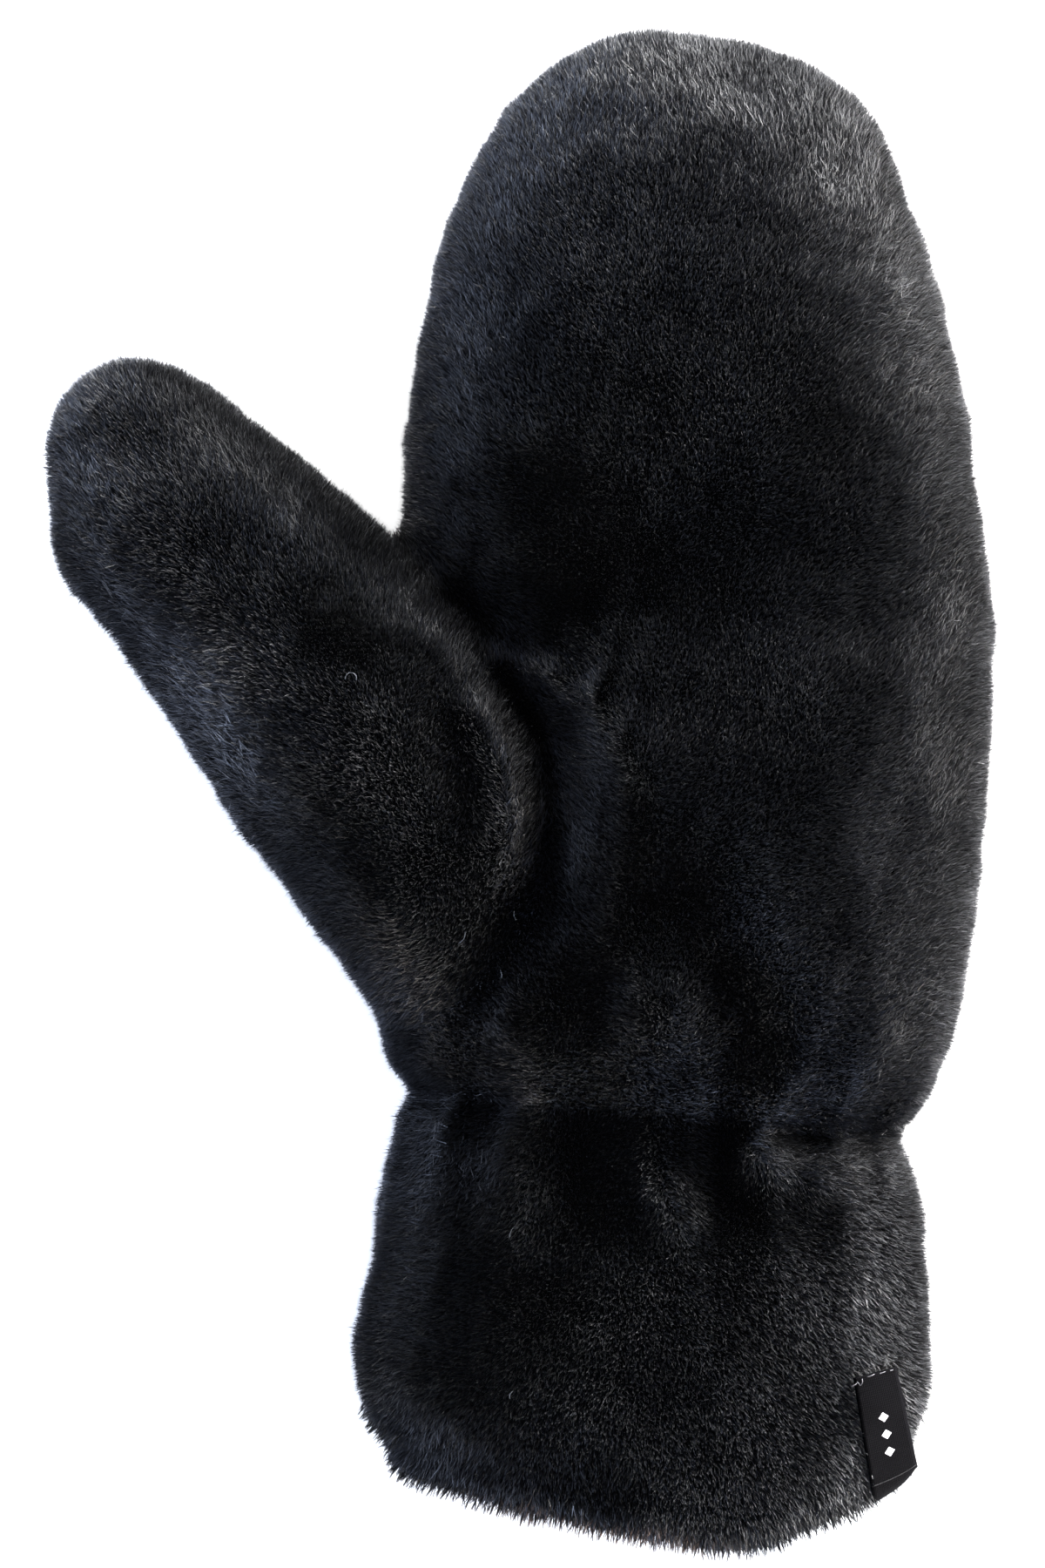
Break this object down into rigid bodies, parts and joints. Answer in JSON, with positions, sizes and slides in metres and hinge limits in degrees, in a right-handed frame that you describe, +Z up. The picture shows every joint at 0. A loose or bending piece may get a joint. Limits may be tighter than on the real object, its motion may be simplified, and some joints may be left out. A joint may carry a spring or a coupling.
{
  "type": "faux fur mitten",
  "caption": "Plush faux fur mitten for the left hand, lying palm up, with a sewn-in thumb, gathered wrist, flared open cuff and a small woven label folded over the hem.",
  "frame": {"origin": "middle of the mitten's box, on the surface that it lies on", "axes": "+Y from the cuff to the fingertips, +X from the thumb's side to the little finger's side, +Z up through the palm"},
  "size_m": [0.2004, 0.3202, 0.0625],
  "materials": {
    "plush_fur": "short dense black plush pile, deep matte with a soft grey sheen where the pile is seen side on",
    "woven_label": "black woven satin ribbon with a low sheen and light grey stitches"
  },
  "bodies": {
    "root": {"palm_panel": "plush_fur", "back_panel": "plush_fur", "thumb": "plush_fur", "cuff": "plush_fur", "label": "woven_label"}
  },
  "joints": []
}
